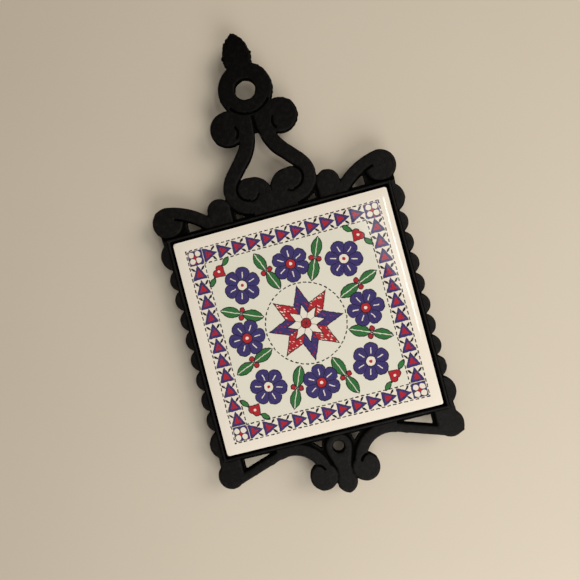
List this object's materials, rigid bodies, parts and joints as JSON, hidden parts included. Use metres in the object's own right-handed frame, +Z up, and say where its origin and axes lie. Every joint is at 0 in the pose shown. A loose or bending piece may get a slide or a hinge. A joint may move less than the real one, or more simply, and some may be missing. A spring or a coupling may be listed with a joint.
{
  "type": "trivet",
  "caption": "Flat iron trivet holding a square glazed tile in a walled tray, with scalloped sides, scrolled ears, a scrolled handle with a hanging ring, and rubber-capped feet.",
  "frame": {"origin": "centre of the whole outline seen from above, on the table plane under the rubber caps", "axes": "+Y from the tile towards the hanging ring, +Z up out of the tile's glazed face, +X to the right when the ring points away"},
  "size_m": [0.176, 0.3308, 0.0187],
  "materials": {
    "iron": "satin black paint over a fine sand-cast grain",
    "tile": "glossy ivory glaze with printed quilt patterns, and a bare buff biscuit back",
    "adhesive": "dull set adhesive",
    "rubber": "matt moulded rubber"
  },
  "bodies": {
    "root": {"cast_tray": "iron", "handle_scrolls": "iron", "hanging_ring": "iron", "upper_ear_left": "iron", "upper_ear_right": "iron", "lower_ear_left": "iron", "lower_ear_right": "iron", "toe_crest": "iron", "ceramic_tile": "tile", "adhesive_dab_upper": "adhesive", "adhesive_dab_lower": "adhesive", "adhesive_dab_left": "adhesive", "adhesive_dab_right": "adhesive", "foot_cap_upper_left": "rubber", "foot_cap_upper_right": "rubber", "foot_cap_lower_left": "rubber", "foot_cap_lower_right": "rubber"}
  },
  "joints": []
}
